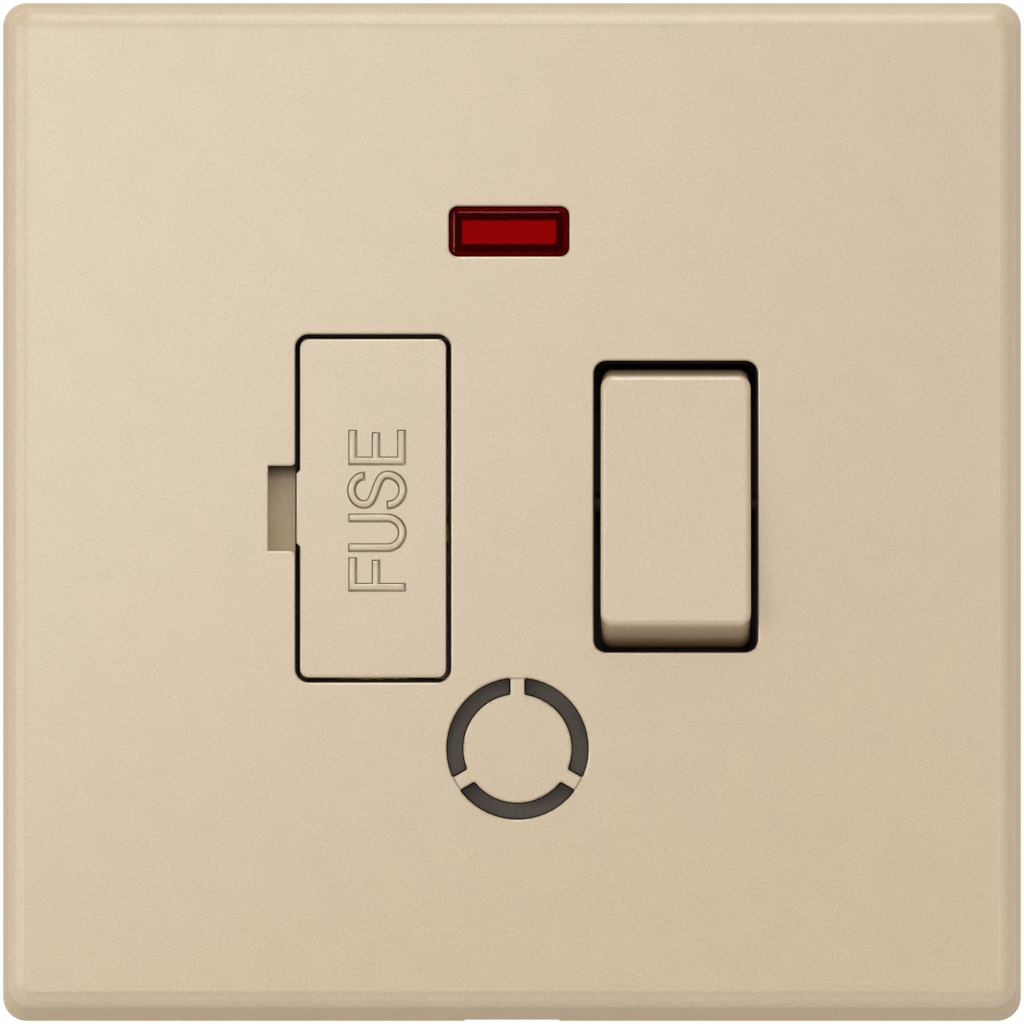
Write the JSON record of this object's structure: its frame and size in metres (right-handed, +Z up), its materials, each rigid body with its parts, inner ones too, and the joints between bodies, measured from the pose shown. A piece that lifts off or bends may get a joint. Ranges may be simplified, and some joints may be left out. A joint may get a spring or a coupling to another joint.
{
  "type": "double pole switched fused connection unit",
  "caption": "Square screwless wall plate with a double-pole rocker, a slide-out fuse carrier, a red neon window and a scored flex outlet, on a frame with a terminal housing behind.",
  "frame": {"origin": "midway between the two fixing holes, on the wall's surface", "axes": "+X right and +Z up for someone facing the wall, +Y into the wall"},
  "size_m": [0.086, 0.0312, 0.086],
  "materials": {
    "front_paint": "champagne beige, satin, with a fine soft grain",
    "frame_plastic": "dark grey moulding, matt",
    "housing_plastic": "off-white thermoset moulding, semi-gloss",
    "contact_brass": "stamped brass",
    "screw_steel": "zinc plated",
    "spring_steel": "drawn wire",
    "contact_silver": "silver alloy",
    "plunger_nylon": "natural nylon",
    "fuse_ceramic": "unglazed, filled",
    "fuse_cap_plating": "nickel plated",
    "lens_red": "clear red, polished",
    "lamp_glass": "clear",
    "lead_sleeve": "sleeved wire",
    "resistor_coat": "lacquered",
    "grommet_rubber": "grey rubber, matt"
  },
  "bodies": {
    "housing": {"cover_plate": "front_paint", "mounting_frame": "frame_plastic", "rear_housing": "housing_plastic", "housing_screws": "screw_steel", "fixed_contact_tips": "contact_silver", "live_link": "contact_brass", "load_live_clip": "contact_brass", "load_neutral_link": "contact_brass", "terminal_screws": "contact_brass", "cord_grip": "housing_plastic", "cord_grip_screws": "screw_steel", "neon_lens": "lens_red", "neon_lamp": "lamp_glass", "neon_live_lead": "lead_sleeve", "neon_neutral_lead": "lead_sleeve", "ballast_resistor": "resistor_coat", "flex_grommet": "grommet_rubber", "supply_live_contact": "contact_brass", "supply_neutral_contact": "contact_brass", "supply_live_terminal": "contact_brass", "supply_neutral_terminal": "contact_brass", "earth_terminal": "contact_brass", "load_live_terminal": "contact_brass", "load_neutral_terminal": "contact_brass"},
    "rocker": {"rocker": "front_paint", "live_plunger_spring": "spring_steel", "neutral_plunger_spring": "spring_steel"},
    "live_plunger": {"live_plunger": "plunger_nylon"},
    "neutral_plunger": {"neutral_plunger": "plunger_nylon"},
    "live_blade": {"live_blade": "contact_brass", "live_blade_tip": "contact_silver"},
    "neutral_blade": {"neutral_blade": "contact_brass", "neutral_blade_tip": "contact_silver"},
    "fuse_carrier": {"fuse_carrier": "front_paint", "fuse_barrel": "fuse_ceramic", "fuse_end_caps": "fuse_cap_plating"}
  },
  "joints": [
    {"name": "rocker_tilt", "type": "hinge", "parent": "housing", "child": "rocker", "pos_m": [0.0138, -0.00257, 0.00046], "axis": [1, 0, 0], "range_deg": [0, 12]},
    {"name": "live_blade_swing", "type": "hinge", "parent": "housing", "child": "live_blade", "pos_m": [0.01, 0.00679, 0.00046], "axis": [1, 0, 0], "range_deg": [-18, 0]},
    {"name": "neutral_blade_swing", "type": "hinge", "parent": "housing", "child": "neutral_blade", "pos_m": [0.0176, 0.00679, 0.00046], "axis": [1, 0, 0], "range_deg": [-18, 0]},
    {"name": "live_plunger_slide", "type": "slide", "parent": "rocker", "child": "live_plunger", "axis": [0, -0.9945, 0.1045], "range_m": [0, 0.0008], "stiffness_N_per_m": 300, "springref_m": -0.0015, "deforming": ["live_plunger_spring"]},
    {"name": "neutral_plunger_slide", "type": "slide", "parent": "rocker", "child": "neutral_plunger", "axis": [0, -0.9945, 0.1045], "range_m": [0, 0.0008], "stiffness_N_per_m": 300, "springref_m": -0.0015, "deforming": ["neutral_plunger_spring"]},
    {"name": "fuse_carrier_slide", "type": "slide", "parent": "housing", "child": "fuse_carrier", "axis": [0, -1, 0], "range_m": [0, 0.011]}
  ],
  "couplings": [
    {"joint": "live_blade_swing", "follows": "rocker_tilt", "ratio": -1.5},
    {"joint": "neutral_blade_swing", "follows": "rocker_tilt", "ratio": -1.5}
  ]
}
